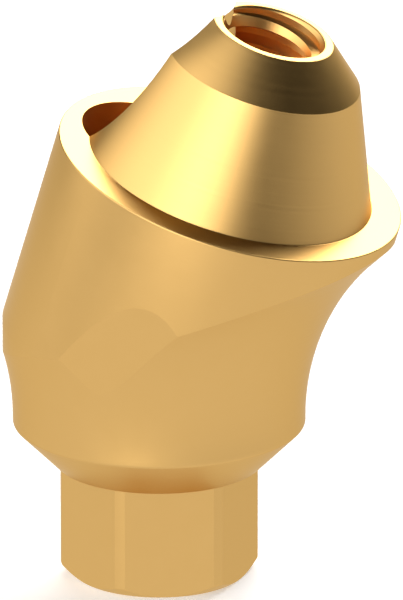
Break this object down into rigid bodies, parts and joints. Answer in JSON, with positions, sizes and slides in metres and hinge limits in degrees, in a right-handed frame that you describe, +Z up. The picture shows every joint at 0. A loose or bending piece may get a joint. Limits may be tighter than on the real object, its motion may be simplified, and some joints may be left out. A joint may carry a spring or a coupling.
{
  "type": "angled dental abutment",
  "caption": "Angled screw-retained dental abutment in one piece: hexagon foot, bevelled seat, flared collar, round shoulder and tilted threaded cone cut by a straight screw channel.",
  "frame": {"origin": "on the implant's axis, at the free end of the hexagon", "axes": "+Z up the implant's axis, +X towards the side that the head leans to, XZ is the plane of symmetry"},
  "size_m": [0.0054, 0.0048, 0.0081],
  "materials": {
    "satin_gold": "satin machined titanium with a gold-coloured titanium nitride coating"
  },
  "bodies": {
    "root": {"abutment_body": "satin_gold"}
  },
  "joints": []
}
